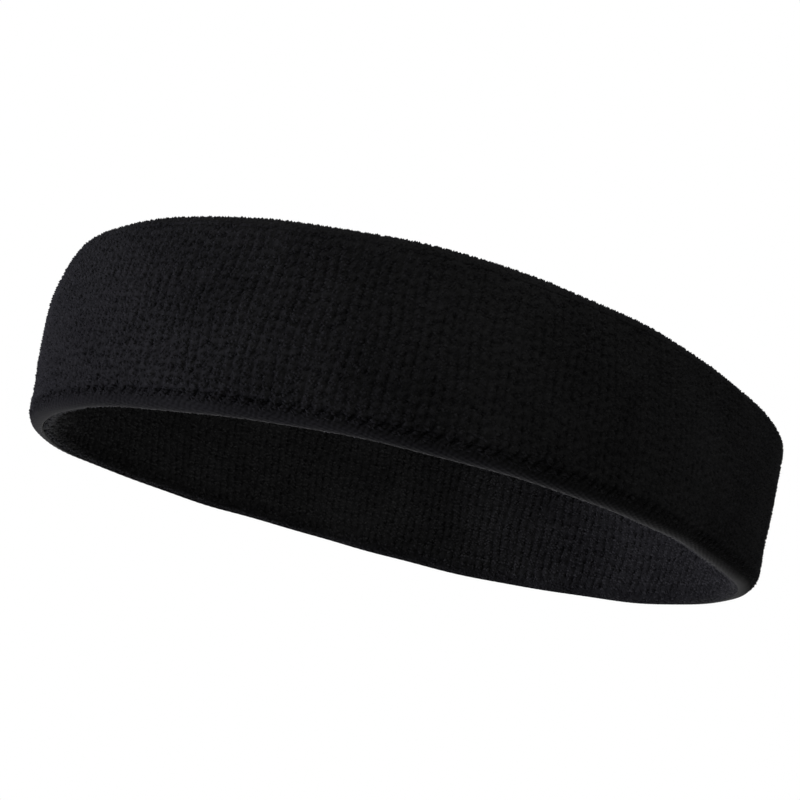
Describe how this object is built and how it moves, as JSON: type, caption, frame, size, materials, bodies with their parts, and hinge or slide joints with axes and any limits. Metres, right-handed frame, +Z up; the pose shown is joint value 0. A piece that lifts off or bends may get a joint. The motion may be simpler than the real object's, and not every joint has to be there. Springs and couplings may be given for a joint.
{
  "type": "sports headband",
  "caption": "Plain terry sports headband: a double-layer elastic knit band standing as a head-sized oval, with a soft upper fold and a rolled lower hem.",
  "frame": {"origin": "middle of the oval in plan, level with the flat face that the lower hem rests on", "axes": "+Z up along the band's axis, +X along the long side of the oval, -Y towards the longer, smoother side"},
  "size_m": [0.23, 0.1698, 0.048],
  "materials": {
    "terry_outer": "black looped cotton terry, matt",
    "terry_inner": "black looped cotton terry, matt, seen on the inside",
    "plain_knit": "charcoal plain knit, faint satin sheen",
    "elastic_yarn": "black covered rubber yarn, matt",
    "sewing_thread": "black polyester thread, soft sheen"
  },
  "bodies": {
    "root": {"outer_terry_layer": "terry_outer", "inner_terry_layer": "terry_inner", "upper_folded_edge": "terry_outer", "lower_rolled_hem": "plain_knit", "outer_elastic_yarn": "elastic_yarn", "inner_elastic_yarn": "elastic_yarn", "closing_needle_thread": "sewing_thread", "closing_looper_thread": "sewing_thread"}
  },
  "joints": []
}
